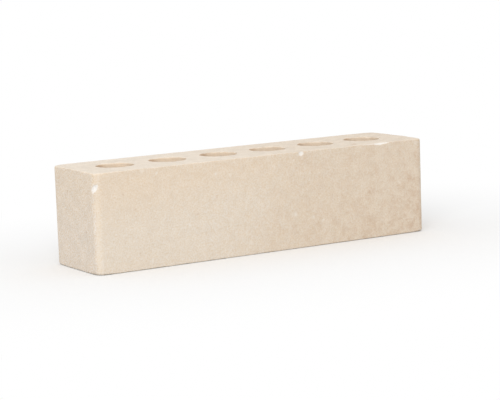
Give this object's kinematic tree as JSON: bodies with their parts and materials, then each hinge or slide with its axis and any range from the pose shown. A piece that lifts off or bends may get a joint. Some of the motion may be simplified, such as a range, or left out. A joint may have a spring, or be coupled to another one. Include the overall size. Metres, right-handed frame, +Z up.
{
  "type": "perforated facing brick",
  "caption": "Narrow cream facing brick, extruded and wire-cut, with rounded upright arrises and a row of round holes from bed to bed.",
  "frame": {"origin": "middle of the bottom bed, on the floor", "axes": "+X along the stretcher face, from the left header to the right one as seen from the facing side; +Y from the facing side to the back; +Z up through the holes"},
  "size_m": [0.25, 0.06, 0.064],
  "materials": {
    "fired_clay": "matte"
  },
  "bodies": {
    "root": {"brick": "fired_clay"}
  },
  "joints": []
}
